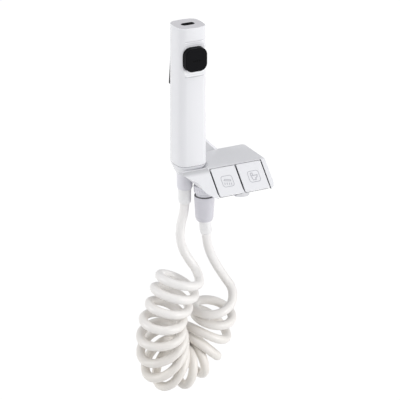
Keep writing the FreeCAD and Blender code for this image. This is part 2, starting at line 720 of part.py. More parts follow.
def make_handset_shell():
    tube_body = shell_loft(0.0, handset_foot_z, handset_top)
    top_edges = [e for e in tube_body.Edges if e.BoundBox.ZMin > handset_top - 0.01]
    tube_body = tube_body.makeFillet(0.7, top_edges)
    inside = shell_loft(shell_wall, handset_foot_z - 1, handset_top + 1)
    pan_half_z = scoop_height / 2 + 2.5
    pan = box(handset_x - 30, handset_x + 30, handset_y - 30, face_y + pan_depth,
              button_z - pan_half_z, button_z + pan_half_z)
    tube_body = tube_body.cut(inside.cut(pan))
    seat_half = head_half - cap_inset + 0.05
    seat = bulged_section(handset_x, handset_y, seat_half, seat_half, head_corner - cap_inset, side_r - cap_inset,
                          handset_top - cap_thick)
    tube_body = tube_body.cut(Part.Face(seat).extrude(V(0, 0, 10)))
    # Scoop across the front face for the thumb
    scoop_r = ((scoop_height / 2) ** 2 + scoop_depth ** 2) / (2 * scoop_depth)
    scoop = rod(V(handset_x - 30, face_y + scoop_depth + scoop_step - scoop_r, button_z), X_AXIS, scoop_r, 60)
    band = box(handset_x - 30, handset_x + 30, face_y - 30, face_y + 10, button_z - scoop_height / 2,
               button_z + scoop_height / 2)
    tube_body = tube_body.cut(scoop.common(band))
    hole = rounded_block_y(handset_x, button_z, button_half_x + button_gap, button_half_z + button_gap,
                           button_corner + button_gap, handset_y - 30, face_y + pan_depth + 1)
    tube_body = tube_body.cut(hole)
    # Window of the lever in the back face
    window_mid = (lever_top_z + 0.5 + lever_tip_z - lever_drop) / 2
    window_half = (lever_top_z + 0.5 - lever_tip_z + lever_drop) / 2
    window = rounded_block_y(handset_x, window_mid, lever_half + 0.4, window_half, 3.0, handset_y + 10, handset_y + 30)
    tube_body = tube_body.cut(window)
    # Ears that hold the lever's pin
    pin_y = handset_y + head_half - lever_pin_inset
    for side in (-1, 1):
        wall_x = handset_x + side * (handset_half(lever_pin_z) - shell_wall)
        inner_x = handset_x + side * (lever_half - 1.2)
        ear = rod(V(min(wall_x, inner_x) - (0.5 if side < 0 else 0), pin_y, lever_pin_z), X_AXIS, 3.0,
                  abs(wall_x - inner_x) + 0.5)
        tube_body = tube_body.fuse(ear.common(shell_loft(0.6, handset_foot_z, handset_top)))
    pin_half = lever_half + 1.2
    tube_body = tube_body.cut(rod(V(handset_x - pin_half, pin_y, lever_pin_z), X_AXIS, lever_pin_r, 2 * pin_half))
    return tube_body.removeSplitter()


def make_handset_cap():
    low = handset_top - cap_thick
    half = handset_half(handset_top) - cap_inset
    skirt_half = handset_half(handset_top) - shell_wall - 0.1
    corner = head_corner - cap_inset
    plate = Part.Face(bulged_section(handset_x, handset_y, half, half, corner, side_r - cap_inset, low))
    plate = plate.extrude(V(0, 0, cap_thick - 0.2))
    skirt = Part.Face(bulged_section(handset_x, handset_y, skirt_half, skirt_half, head_corner - shell_wall,
                                     side_r - shell_wall - 0.1, low - 5.0)).extrude(V(0, 0, 5.1))
    core = Part.Face(bulged_section(handset_x, handset_y, skirt_half - 1.6, skirt_half - 1.6,
                                    head_corner - shell_wall - 1.0, side_r - 4.0, low - 5.5)).extrude(V(0, 0, 5.5))
    cap = plate.fuse(skirt.cut(core))
    slot = oval(jet_half_x + 0.05, jet_half_y + 0.05, low - 8, handset_top + 1)
    return cap.cut(slot)


jet_half_x = 8.5
jet_half_y = 4.2
jet_slot_x = 6.9
jet_slot_y = 2.4
jet_mouth_depth = 4.8
jet_rim = 0.5
jet_lip_below = 0.7


def oval(half_x, half_y, z0, z1):
    section = rounded_section(handset_x, handset_y, half_x, half_y, half_y - 0.02, z0)
    return Part.Face(section).extrude(V(0, 0, z1 - z0))


def make_jet_nozzle():
    body = oval(jet_half_x, jet_half_y, handset_top - cap_thick - 4.0, handset_top - 0.2)
    body = body.fuse(rod(V(handset_x, handset_y, way_top), Z_AXIS, way_r, handset_top - cap_thick - 4.0 - way_top + 0.1))
    body = body.fuse(oval(jet_slot_x + 0.9, jet_slot_y + 0.9, handset_top - 1.0, handset_top - 0.2 + jet_rim))
    mouth_low = handset_top - jet_mouth_depth
    body = body.cut(oval(jet_slot_x, jet_slot_y, mouth_low, handset_top + 1))
    body = body.cut(oval(jet_slot_x - 1.4, 0.6, mouth_low - 2.2, handset_top))
    return body.cut(rod(V(handset_x, handset_y, way_top - 1), Z_AXIS, way_bore_r, mouth_low - 1.8 - way_top + 1))


def make_jet_lip():
    """Dark rubber lip in the mouth, with the thin slot that shapes the flat jet."""
    low = handset_top - jet_mouth_depth
    lip = oval(jet_slot_x - 0.02, jet_slot_y - 0.02, low, handset_top - jet_lip_below)
    lip = lip.cut(oval(jet_slot_x - 0.9, jet_slot_y - 0.9, handset_top - jet_lip_below - 0.7, handset_top))
    return lip.cut(oval(jet_slot_x - 1.6, 0.55, low - 1, handset_top))


way_top = handset_top - 12.0
block_back = 6.5
block_front = -7.0
plunger_head_y = 13.4


def make_waterway():
    """Tube up the handset with the trigger's valve block and the button's spool block."""
    low = handset_foot_z + 7.0
    tube_up = rod(V(handset_x, handset_y, low), Z_AXIS, way_r - 0.05, way_top - low)
    trigger_block = rod(V(handset_x, handset_y, plunger_z), Y_AXIS, 6.0, block_back)
    spool_block = rod(V(handset_x, handset_y + block_front, button_z), Y_AXIS, 6.0, -block_front)
    body = tube_up.fuse(trigger_block).fuse(spool_block)
    for z in (low + 30.0, plunger_z - 14.0, button_z + 10.0):
        rib = Part.Face(rounded_section(handset_x, handset_y, 11.5, 8.5, 3.0, z)).extrude(V(0, 0, 1.6))
        body = body.fuse(rib)
    body = body.cut(rod(V(handset_x, handset_y, low - 1), Z_AXIS, way_bore_r, plunger_z - 6 - low))
    body = body.cut(rod(V(handset_x, handset_y, plunger_z + 6), Z_AXIS, way_bore_r, way_top))
    body = body.cut(rod(V(handset_x, handset_y - 4.0, plunger_z), Y_AXIS, plunger_r + running_gap, 20))
    body = body.cut(rod(V(handset_x, handset_y + block_front - 1, button_z), Y_AXIS, 2.0 + running_gap, 10.0 + 1))
    return body.removeSplitter()


def make_trigger_pin():
    pin_half = lever_half + 1.2
    pin_y = handset_y + head_half - lever_pin_inset
    return rod(V(handset_x - pin_half, pin_y, lever_pin_z), X_AXIS, lever_pin_r, 2 * pin_half)


def make_trigger_lever():
    """Paddle with side cheeks, a hinge barrel and a rib that meets the plunger."""
    face_top = handset_y + handset_half(lever_top_z) + lever_top_proud
    face_tip = handset_y + handset_half(lever_tip_z) + lever_tip_proud
    pin_y = handset_y + head_half - lever_pin_inset
    cheek_y = pin_y - 2.0
    profile = [(face_top, lever_top_z, 1.0), (face_tip, lever_tip_z, 2.2), (face_tip - 4.5, lever_tip_z + 0.2, 1.5),
               (cheek_y, lever_pin_z - 16.0, 4.0), (cheek_y, lever_pin_z + 2.5, 2.0), (face_top - 3.5, lever_top_z, 0.5)]
    block = prism(profile, on_yz(handset_x - lever_half), V(2 * lever_half, 0, 0))
    shape = rounded_block_y(handset_x, (lever_top_z + lever_tip_z) / 2, lever_half, (lever_top_z - lever_tip_z) / 2,
                            3.0, handset_y, handset_y + 30)
    block = block.common(shape)
    hollow_profile = [(face_top - lever_thick, lever_top_z - 3.0, 0), (face_tip - lever_thick, lever_tip_z + 2.6, 0),
                      (face_tip - 14, lever_tip_z + 2.6, 0), (cheek_y - 6, lever_pin_z, 0),
                      (cheek_y - 6, lever_top_z + 2, 0), (face_top - 6, lever_top_z + 2, 0)]
    hollow = prism(hollow_profile, on_yz(handset_x - lever_half + 2.0), V(2 * lever_half - 4.0, 0, 0))
    lever = block.cut(hollow)
    # Room beside the ears, and a barrel between them
    for side in (-1, 1):
        ear_x = handset_x + side * (lever_half - 0.5)
        gap = box(min(ear_x - 1.0, ear_x + 1.0), max(ear_x - 1.0, ear_x + 1.0), pin_y - 5.5, pin_y + 3.35,
                  lever_pin_z - 4.5, lever_top_z + 1)
        lever = lever.cut(gap)
    barrel_half = lever_half - 1.5
    barrel = rod(V(handset_x - barrel_half, pin_y, lever_pin_z), X_AXIS, 2.6, 2 * barrel_half)
    web = box(handset_x - barrel_half, handset_x + barrel_half, pin_y, pin_y + 4.2, lever_pin_z - 1.5, lever_pin_z + 1.5)
    rib_face = handset_y + plunger_head_y + stem_travel_gap
    slope = (face_tip - face_top) / (lever_top_z - lever_tip_z)
    rib_back = face_top + slope * (lever_top_z - plunger_z) - lever_thick + 0.5
    rib = box(handset_x - 3.0, handset_x + 3.0, rib_face, rib_back, plunger_z - 2.5, plunger_z + 2.5)
    lever = lever.fuse(barrel).fuse(web).fuse(rib)
    lever = lever.cut(rod(V(handset_x - 30, pin_y, lever_pin_z), X_AXIS, lever_pin_r + running_gap, 60))
    return lever.removeSplitter()


def make_trigger_plunger():
    head = rod(V(handset_x, handset_y + plunger_head_y - 1.5, plunger_z), Y_AXIS, 4.0, 1.5)
    shank = rod(V(handset_x, handset_y - 0.5, plunger_z), Y_AXIS, plunger_r, plunger_head_y)
    groove = tube(V(handset_x, handset_y + 2.0, plunger_z), Y_AXIS, plunger_r + 1, plunger_r - 0.6, 1.6)
    return head.fuse(shank).cut(groove)


def make_plunger_seal():
    return tube(V(handset_x, handset_y + 2.1, plunger_z), Y_AXIS, plunger_r + running_gap, plunger_r - 0.6, 1.4)


def make_trigger_spring():
    start = block_back + 0.1
    stop = plunger_head_y - 1.6
    return coil_spring(V(handset_x, handset_y + start, plunger_z), Y_AXIS, plunger_r + 0.8, 0.3, stop - start, 3.0)


def make_mode_button():
    out = face_y - button_proud
    body = rounded_block_y(handset_x, button_z, button_half_x, button_half_z, button_corner, out, out + button_proud + 4.8)
    rim = [e for e in body.Edges if abs(e.BoundBox.YMax - out) < 0.01]
    body = body.makeFillet(1.1, rim)
    hollow = rounded_block_y(handset_x, button_z, button_half_x - 2.2, button_half_z - 2.2, button_corner - 2.2,
                             out + 3.4, out + 14)
    body = body.cut(hollow)
    # Catches above and below that stop it behind the pan
    catch_y = face_y + pan_depth + 0.2
    for side in (-1, 1):
        z_in = button_z + side * (button_half_z - 2.2)
        z_out = button_z + side * (button_half_z + 1.8)
        body = body.fuse(box(handset_x - 4, handset_x + 4, catch_y, catch_y + 1.4, min(z_in, z_out), max(z_in, z_out)))
        body = body.fuse(box(handset_x - 4, handset_x + 4, out + button_proud + 3.2, catch_y + 1.4,
                             min(z_in, z_in + side * 2.0), max(z_in, z_in + side * 2.0)))
    boss = rod(V(handset_x, out + 2.0, button_z), Y_AXIS, 3.2, spool_front - out - 2.0 + handset_y)
    return body.fuse(boss).removeSplitter()


spool_front = -11.5


def make_mode_spool():
    spool = rod(V(handset_x, handset_y + spool_front, button_z), Y_AXIS, 2.0, 8.5)
    groove = tube(V(handset_x, handset_y - 4.6, button_z), Y_AXIS, 3.0, 1.3, 1.2)
    return spool.cut(groove)


def make_button_spring():
    start = spool_front - 2.0
    stop = block_front - 0.1
    return coil_spring(V(handset_x, handset_y + start + 2.1, button_z), Y_AXIS, 2.0 + 0.8, 0.3, stop - start - 2.1, 2.5)


# Hose route: straight runs between these points, joined by tangent arcs
lead_upper_points = [(-46.0, -17.5, -41.0), (-46.0, -17.5, -54.0), (-51.0, -17.8, -69.5), (-53.6, -18.8, -84.5),
                     (-50.8, -21.5, -100.0), (-43.8, -26.2, -114.5), (-38.0, -32.0, -126.5), (-36.8, -37.0, -137.8)]
coil_axis_points = [(-60.0, coil_y, -128.0), (-75.0, coil_y, -164.3), (-88.8, coil_y, -202.6), (-88.8, coil_y, -231.2),
                    (-68.5, coil_y, -251.5), (-39.7, coil_y, -251.5), (-19.4, coil_y, -231.2), (-14.5, coil_y, -203.0),
                    (-15.5, coil_y, -175.5)]
lead_lower_points = [(-24.1, -31.0, -79.5), (-22.9, -31.0, -93.0), (-17.6, -31.2, -109.0), (-9.0, -31.8, -127.0),
                     (2.0, -33.0, -145.0), (7.8, -34.8, -158.0), (9.4, -37.0, -168.5)]


def cord_tube(name, points, radius, round_share):
    """Round tube along straight runs and tangent arcs; prints its arcs, length and volume check."""
    pts = [V(*p) for p in points]
    runs = [(b - a).Length for a, b in zip(pts, pts[1:])]
    edges = []
    at = pts[0]
    radii = []
    for i in range(1, len(pts) - 1):
        back = (pts[i - 1] - pts[i]).normalize()
        ahead = (pts[i + 1] - pts[i]).normalize()
        turn = math.pi - back.getAngle(ahead)
        arc_r = round_share * min(runs[i - 1], runs[i]) / math.tan(turn / 2)
        reach = arc_r * math.tan(turn / 2)
        radii.append(arc_r)
        start = pts[i] + back * reach
        stop = pts[i] + ahead * reach
        inward = (back + ahead).normalize()
        half = back.getAngle(ahead) / 2
        middle = pts[i] + inward * (arc_r / math.sin(half) - arc_r)
        edges.append(Part.LineSegment(at, start).toShape())
        edges.append(Part.Arc(start, middle, stop).toShape())
        at = stop
    edges.append(Part.LineSegment(at, pts[-1]).toShape())
    path = Part.Wire(edges)
    direction = (pts[1] - pts[0]).normalize()
    ring = Part.Wire(Part.makeCircle(radius, pts[0], direction))
    solid = path.makePipeShell([ring], True, False)
    expected = math.pi * radius ** 2 * path.Length
    print("%s: length %.1f, arc radii %s, volume ratio %.4f" %
          (name, path.Length, [round(r) for r in radii], solid.Volume / expected))
    return solid


def main():
    save("valve_housing", make_valve_housing())
    save("valve_base", make_valve_base())
    save("base_screws", make_base_screws())
    save("manifold", make_manifold())
    save("inlet_filter", make_inlet_filter())
    save("key_axle", make_key_axle())
    for index, label in enumerate(("sprayer", "tank")):
        x = cartridge_x[index]
        save("key_" + label, make_key(index))
        save("cartridge_" + label, make_cartridge(x))
        save("stem_" + label, make_stem(x))
        save("stem_seal_" + label, make_stem_seal(x))
        save("key_spring_" + label, make_key_spring(x))
    save("neck_ring", make_neck_ring())
    save("hose_nut", make_hose_nut())
    save("outlet_washer", make_outlet_washer())
    save("hose_tailpiece", make_hose_tailpiece())
    save("hose_cuff_lower", make_lower_cuff())
    save("hose_cuff_upper", make_hose_cuff(handset_x, tail_y, cuff_up_r, tail_top - spigot_length, cuff_up_end))
    save("tail_cone", make_tail_cone())
    save("tail_nut", make_tail_nut())
    save("handset_shell", make_handset_shell())
    save("handset_cap", make_handset_cap())
    save("jet_nozzle", make_jet_nozzle())
    save("jet_lip", make_jet_lip())
    save("waterway", make_waterway())
    save("trigger_pin", make_trigger_pin())
    save("trigger_lever", make_trigger_lever())
    save("trigger_plunger", make_trigger_plunger())
    save("plunger_seal", make_plunger_seal())
    save("trigger_spring", make_trigger_spring())
    save("mode_button", make_mode_button())
    save("mode_spool", make_mode_spool())
    save("button_spring", make_button_spring())
    save("hose_lead_upper", cord_tube("hose_lead_upper", lead_upper_points, hose_r, 0.45))
    save("hose_coil", cord_tube("hose_coil", coil_axis_points, coil_turn_r + hose_r, 0.45))
    save("hose_lead_lower", cord_tube("hose_lead_lower", lead_lower_points, hose_r, 0.45))


main()
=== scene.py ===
# %% [markdown]
# A handheld bidet shower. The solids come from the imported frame: a moulded valve with two keys, a square
# handset standing in its fork, and the metal fittings. Here they get their finishes, and the hose, the key
# pictures and the fine trim are modelled. Lengths are in metres, in the frame's own axes.

# %% Start
import bpy
import math
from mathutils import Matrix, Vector


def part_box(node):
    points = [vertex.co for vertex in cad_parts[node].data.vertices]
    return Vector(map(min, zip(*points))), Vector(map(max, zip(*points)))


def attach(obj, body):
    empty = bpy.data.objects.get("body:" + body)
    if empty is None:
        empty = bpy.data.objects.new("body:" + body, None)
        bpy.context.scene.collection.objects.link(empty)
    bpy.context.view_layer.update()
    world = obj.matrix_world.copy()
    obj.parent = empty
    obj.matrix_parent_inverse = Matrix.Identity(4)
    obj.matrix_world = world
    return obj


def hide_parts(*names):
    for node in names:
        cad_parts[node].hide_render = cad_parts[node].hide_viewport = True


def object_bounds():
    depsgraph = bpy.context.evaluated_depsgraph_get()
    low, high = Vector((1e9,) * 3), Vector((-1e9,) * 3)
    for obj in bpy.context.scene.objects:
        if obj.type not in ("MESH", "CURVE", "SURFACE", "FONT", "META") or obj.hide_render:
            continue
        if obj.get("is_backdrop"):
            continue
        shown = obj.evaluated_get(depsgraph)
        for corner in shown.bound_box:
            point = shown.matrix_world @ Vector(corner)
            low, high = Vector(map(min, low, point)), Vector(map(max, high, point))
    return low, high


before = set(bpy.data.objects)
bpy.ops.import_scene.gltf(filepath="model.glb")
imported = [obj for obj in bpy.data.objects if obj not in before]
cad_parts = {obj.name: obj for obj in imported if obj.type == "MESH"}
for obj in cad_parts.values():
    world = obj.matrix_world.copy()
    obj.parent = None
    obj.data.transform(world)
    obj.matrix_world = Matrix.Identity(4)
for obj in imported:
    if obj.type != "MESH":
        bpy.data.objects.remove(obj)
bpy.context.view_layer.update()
bpy.ops.object.select_all(action="DESELECT")
print("nodes in the frame:", len(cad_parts))
mm = 0.001

# %% [markdown]
# The camera comes first, because every later choice is judged through it. The photograph looks slightly
# down on the object from the front left, with a long lens, so parallel edges stay almost parallel.

# %% Camera
camera_place = Vector((-1.1111, -2.1706, 0.9734))
camera_target = Vector((-0.03381, -0.034, -0.03342))
bpy.ops.object.camera_add(location=camera_place)
camera = bpy.context.object
camera.name = "camera"
camera.rotation_mode = "QUATERNION"
camera.rotation_quaternion = (camera_target - camera_place).to_track_quat("-Z", "Y")
camera.data.sensor_width = 36.0
camera.data.lens = 194.8
camera.data.clip_start = 0.05
camera.data.clip_end = 50.0
bpy.context.scene.camera = camera
print("camera distance", round((camera_target - camera_place).length, 3))

# %% [markdown]
# A plain pale floor lies well below the object, as it would under a wall fitting. Camera rays see it close
# to white, as in a studio picture, and part of it stays a lit surface, so that it still takes a shadow.

# %% Floor
floor_height = -0.95
white_part = 0.92
bpy.ops.mesh.primitive_plane_add(size=16, location=(0, 0, floor_height))
floor = bpy.context.object
floor.name = "floor"
floor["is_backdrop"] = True

floor_paint = bpy.data.materials.new("floor_paint")
floor_paint.use_nodes = True
floor_nodes = floor_paint.node_tree.nodes
floor_nodes.clear()
lit = floor_nodes.new("ShaderNodeBsdfDiffuse")
lit.inputs["Color"].default_value = (0.78, 0.78, 0.78, 1)
white = floor_nodes.new("ShaderNodeEmission")
white.inputs["Color"].default_value = (1, 1, 1, 1)
white.inputs["Strength"].default_value = 1.08
rays = floor_nodes.new("ShaderNodeLightPath")
seen = floor_nodes.new("ShaderNodeMath")
seen.operation = "MAXIMUM"
share_seen = floor_nodes.new("ShaderNodeMath")
share_seen.operation = "MULTIPLY"
share_seen.inputs[1].default_value = white_part
floor_mix = floor_nodes.new("ShaderNodeMixShader")
floor_end = floor_nodes.new("ShaderNodeOutputMaterial")
floor_link = floor_paint.node_tree.links.new
floor_link(rays.outputs["Is Camera Ray"], seen.inputs[0])
floor_link(rays.outputs["Is Glossy Ray"], seen.inputs[1])
floor_link(seen.outputs[0], share_seen.inputs[0])
floor_link(share_seen.outputs[0], floor_mix.inputs["Fac"])
floor_link(lit.outputs[0], floor_mix.inputs[1])
floor_link(white.outputs[0], floor_mix.inputs[2])
floor_link(floor_mix.outputs[0], floor_end.inputs["Surface"])
floor.data.materials.append(floor_paint)

# %% [markdown]
# The light is soft and low, so upright faces are bright and faces that look up are greyer. One large lamp
# stands in front, one at the left, and two weaker ones open the right side and the top.

# %% Light
def soft_lamp(name, place, aim, size, watts):
    """Square lamp that looks at one point."""
    bpy.ops.object.light_add(type="AREA", location=place)
    lamp = bpy.context.object
    lamp.name = name
    lamp.data.shape = "SQUARE"
    lamp.data.size = size
    lamp.data.energy = watts
    lamp.rotation_mode = "QUATERNION"
    lamp.rotation_quaternion = (Vector(aim) - Vector(place)).to_track_quat("-Z", "Y")
    print(name, watts, "W")


middle = (-0.03, -0.03, -0.03)
soft_lamp("front_lamp", (1.3, -2.3, 0.5), middle, 1.5, 35)
soft_lamp("left_lamp", (-2.45, 0.65, 0.5), middle, 1.3, 27)
soft_lamp("right_lamp", (2.3, -1.3, 0.5), middle, 1.6, 8)
soft_lamp("top_lamp", (-0.2, -0.4, 2.4), middle, 1.6, 14)

# %% [markdown]
# A dim even world keeps the shadows from closing. Camera rays see it white, so the picture's ground is
# plain.

# %% World
world = bpy.data.worlds.new("studio")
bpy.context.scene.world = world
world.use_nodes = True
world_nodes = world.node_tree.nodes
world_nodes.clear()
dim = world_nodes.new("ShaderNodeBackground")
dim.inputs["Color"].default_value = (0.96, 0.97, 1.0, 1)
dim.inputs["Strength"].default_value = 0.5
bright = world_nodes.new("ShaderNodeBackground")
bright.inputs["Color"].default_value = (1, 1, 1, 1)
bright.inputs["Strength"].default_value = 1.02
world_rays = world_nodes.new("ShaderNodeLightPath")
world_mix = world_nodes.new("ShaderNodeMixShader")
world_end = world_nodes.new("ShaderNodeOutputWorld")
world_link = world.node_tree.links.new
world_link(world_rays.outputs["Is Camera Ray"], world_mix.inputs["Fac"])
world_link(dim.outputs[0], world_mix.inputs[1])
world_link(bright.outputs[0], world_mix.inputs[2])
world_link(world_mix.outputs[0], world_end.inputs["Surface"])

scene = bpy.context.scene
scene.view_settings.view_transform = "Standard"
print("colours are shown with", scene.view_settings.view_transform)

# %% [markdown]
# Every finish is built from the same few steps: a colour with a slow variation over the piece, a roughness
# that varies with it, and a fine relief. The patterns read object coordinates, so they stay with the piece.

# %% Finish helper
def shader_of(material):
    return material.node_tree.nodes["Principled BSDF"]


def finish(name, colour, other_colour, rough, rough_spread=0.05, patch_scale=18.0, grain_scale=900.0,
           grain=0.05, metallic=0.0):
    """New material that varies between two colours and round one roughness."""
    made = bpy.data.materials.new(name)
    made.use_nodes = True
    tree = made.node_tree
    shader = shader_of(made)
    place = tree.nodes.new("ShaderNodeTexCoord")
    patches = tree.nodes.new("ShaderNodeTexNoise")
    patches.inputs["Scale"].default_value = patch_scale
    patches.inputs["Detail"].default_value = 3.0
    tint = tree.nodes.new("ShaderNodeMix")
    tint.data_type = "RGBA"
    tint.inputs["A"].default_value = (*colour, 1)
    tint.inputs["B"].default_value = (*other_colour, 1)
    worn = tree.nodes.new("ShaderNodeMapRange")
    worn.inputs["To Min"].default_value = max(0.02, rough - rough_spread)
    worn.inputs["To Max"].default_value = rough + rough_spread
    fine = tree.nodes.new("ShaderNodeTexNoise")
    fine.inputs["Scale"].default_value = grain_scale
    fine.inputs["Detail"].default_value = 2.0
    relief = tree.nodes.new("ShaderNodeBump")
    relief.inputs["Strength"].default_value = grain
    relief.inputs["Distance"].default_value = 0.2 * mm
    link = tree.links.new
    link(place.outputs["Object"], patches.inputs["Vector"])
    link(place.outputs["Object"], fine.inputs["Vector"])
    link(patches.outputs["Fac"], tint.inputs["Factor"])
    link(patches.outputs["Fac"], worn.inputs["Value"])
    link(tint.outputs["Result"], shader.inputs["Base Color"])
    link(worn.outputs["Result"], shader.inputs["Roughness"])
    link(fine.outputs["Fac"], relief.inputs["Height"])
    link(relief.outputs["Normal"], shader.inputs["Normal"])
    shader.inputs["Metallic"].default_value = metallic
    return made


def dress(names, material):
    """Give the named solids of the frame one material."""
    for name in names:
        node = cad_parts[name]
        node.data.materials.clear()
        node.data.materials.append(material)
    print(material.name, "on", *names)


# %% [markdown]
# Some colours change within a piece: a painted shadow line in a joint, painted shade in a slit, a coated
# collar. Such a place is found from the object coordinates, as a band between two distances, and two bands
# multiplied give the spot where they cross. A second colour is then laid over the first one there.

# %% Bands and tints
def between(tree, value, low, high):
    """One where the value is between low and high, nothing outside."""
    node = tree.nodes.new("ShaderNodeMath")
    node.operation = "COMPARE"
    node.inputs[1].default_value = (low + high) / 2
    node.inputs[2].default_value = (high - low) / 2
    tree.links.new(value, node.inputs[0])
    return node.outputs[0]


def both(tree, first, second):
    """One only where both shares are one."""
    node = tree.nodes.new("ShaderNodeMath")
    node.operation = "MULTIPLY"
    tree.links.new(first, node.inputs[0])
    tree.links.new(second, node.inputs[1])
    return node.outputs[0]


def tint_where(tree, share, colour):
    """Lay a second colour over the shader's own, as far as share says."""
    paint = tree.nodes.new("ShaderNodeMix")
    paint.data_type = "RGBA"
    paint.inputs["B"].default_value = (*colour, 1)
    base = tree.nodes["Principled BSDF"].inputs["Base Color"]
    tree.links.new(base.links[0].from_socket, paint.inputs["A"])
    tree.links.new(share, paint.inputs["Factor"])
    tree.links.new(paint.outputs["Result"], base)


def place_parts(tree):
    """The three object coordinates, each as a socket."""
    place = tree.nodes.new("ShaderNodeTexCoord")
    parts = tree.nodes.new("ShaderNodeSeparateXYZ")
    tree.links.new(place.outputs["Object"], parts.inputs[0])
    return parts.outputs


# %% [markdown]
# The mouldings are white gloss plastic with a slightly cool tone. The skin has a very faint orange peel,
# and the gloss is soft, so edges catch light without a mirror look. The pieces come from different tools,
# so their whites differ a little, and the nut is the greyest. The cap and the base are painted greyer, as
# painted shade for faces that the low lamps light less. The foot of the handset ends in a joint with the
# shell, and the shadow in that joint is painted on as a thin dark line.

# %% White mouldings
def gloss_white(name):
    """White gloss moulding under a thin clear skin."""
    made = finish(name, (0.83, 0.83, 0.845), (0.80, 0.80, 0.82), 0.24, 0.05, 14.0, 260.0, 0.03)
    shader_of(made).inputs["Coat Weight"].default_value = 0.15
    shader_of(made).inputs["Coat Roughness"].default_value = 0.1
    return made


white_plastic = gloss_white("white_plastic")
dress(["handset_shell"], white_plastic)

seam_low = 16.3 * mm
seam_high = 17.1 * mm
foot_plastic = finish("foot_plastic", (0.80, 0.80, 0.82), (0.76, 0.76, 0.785), 0.26, 0.05, 16.0, 260.0, 0.03)
foot_tree = foot_plastic.node_tree
# Painted shadow: a thin dark band at the joint stands in for the shade in the gap.
seam_shadow_band = between(foot_tree, place_parts(foot_tree)["Z"], seam_low, seam_high)
tint_where(foot_tree, seam_shadow_band, (0.16, 0.16, 0.18))
dress(["tail_cone"], foot_plastic)

# Painted shade: the cap and the base get a greyer copy of the white, for the light they miss.
shaded_plastic = finish("shaded_plastic", (0.765, 0.752, 0.77), (0.72, 0.705, 0.73), 0.34, 0.06, 20.0,
                        500.0, 0.04)
dress(["handset_cap", "valve_base"], shaded_plastic)

nut_plastic = finish("nut_plastic", (0.68, 0.67, 0.71), (0.63, 0.62, 0.665), 0.32, 0.05, 30.0, 700.0, 0.05)
dress(["hose_nut"], nut_plastic)

sleeve_plastic = finish("sleeve_plastic", (0.81, 0.80, 0.84), (0.77, 0.76, 0.80), 0.30, 0.05, 30.0, 700.0,
                        0.04)
dress(["tail_nut"], sleeve_plastic)

# %% [markdown]
# The cuffs are pressed onto the hose by a tool with fine teeth, which leaves level rings. They are the
# warmest white, and a regular wave over the height adds the rings to their relief.

# %% Crimped cuffs
pitch_at_scale_one = 0.314


def crimp_rings(material, pitch, depth):
    """Fine level rings pressed into a piece, added to its relief."""
    tree = material.node_tree
    shader = shader_of(material)
    place = tree.nodes.new("ShaderNodeTexCoord")
    rings = tree.nodes.new("ShaderNodeTexWave")
    rings.bands_direction = "Z"
    rings.inputs["Scale"].default_value = pitch_at_scale_one / pitch
    rings.inputs["Distortion"].default_value = 0.3
    press = tree.nodes.new("ShaderNodeBump")
    press.inputs["Strength"].default_value = 0.6
    press.inputs["Distance"].default_value = depth
    before = shader.inputs["Normal"].links[0].from_socket
    tree.links.new(place.outputs["Object"], rings.inputs["Vector"])
    tree.links.new(rings.outputs["Fac"], press.inputs["Height"])
    tree.links.new(before, press.inputs["Normal"])
    tree.links.new(press.outputs["Normal"], shader.inputs["Normal"])


cuff_plastic = finish("cuff_plastic", (0.92, 0.915, 0.915), (0.88, 0.87, 0.865), 0.42, 0.06, 60.0, 900.0,
                      0.08)
crimp_rings(cuff_plastic, 2.2 * mm, 0.4 * mm)
dress(["hose_cuff_lower", "hose_cuff_upper"], cuff_plastic)

# %% [markdown]
# The thumb pad lies in a scoop that ends in fine steps above and below it. The top of the dish gets a
# painted highlight, the brightest white, and the shadow of each step is painted as a thin grey line. These
# tints stay on the front of the shell, in the width and depth of the scoop.

# %% Scoop lines
pad_low, pad_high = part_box("mode_button")
pad_middle = (pad_low + pad_high) / 2
scoop_half = 13.0 * mm
dish_end = 21.3 * mm
scoop_front = -60.0 * mm
scoop_back = -43.6 * mm

shell_tree = white_plastic.node_tree
shell_x, shell_y, shell_z = place_parts(shell_tree)
in_width = between(shell_tree, shell_x, pad_middle.x - scoop_half, pad_middle.x + scoop_half)
in_depth = between(shell_tree, shell_y, scoop_front, scoop_back)
in_scoop = both(shell_tree, in_width, in_depth)
# Painted highlight: the top of the dish is tinted a brighter white.
dish_highlight_band = between(shell_tree, shell_z, pad_middle.z + scoop_half, pad_middle.z + dish_end)
tint_where(shell_tree, both(shell_tree, dish_highlight_band, in_scoop), (0.93, 0.93, 0.945))

# Painted shadow: each step of the scoop is drawn as a thin grey band.
# One row a line: height from the pad's middle and half width in millimetres, then the grey
step_shadow_lines = [(21.6, 0.4, 0.56), (19.2, 0.3, 0.70)]
for from_pad, half_width, grey in step_shadow_lines:
    for side in (-1, 1):
        height = pad_middle.z + side * from_pad * mm
        line = between(shell_tree, shell_z, height - half_width * mm, height + half_width * mm)
        tint_where(shell_tree, both(shell_tree, line, in_scoop), (grey, grey, grey + 0.02))
        print("step line at z", round(height, 4))

# %% [markdown]
# The slits round the keys look dark, because little light reaches their walls. That shade is painted: the
# valve gets its own white, which turns dark grey in the thin layer under the keys' sloping face. The layer
# is found from two distances, one square to the slope and one down along it, so the pieces' outer faces
# stay clean.

# %% Slits round the keys
slope_down = Vector((0, -0.5, -0.5)).normalized()
slope_out = Vector((0, -0.5, 0.5)).normalized()
crease = Vector((0, -0.054, 0.014))
pocket_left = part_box("key_sprayer")[0].x - 2.6 * mm
pocket_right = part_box("key_tank")[1].x + 2.2 * mm

valve_plastic = gloss_white("valve_plastic")
valve_tree = valve_plastic.node_tree
valve_place = valve_tree.nodes.new("ShaderNodeTexCoord")
from_crease = valve_tree.nodes.new("ShaderNodeVectorMath")
from_crease.operation = "SUBTRACT"
from_crease.inputs[1].default_value = crease
valve_tree.links.new(valve_place.outputs["Object"], from_crease.inputs[0])


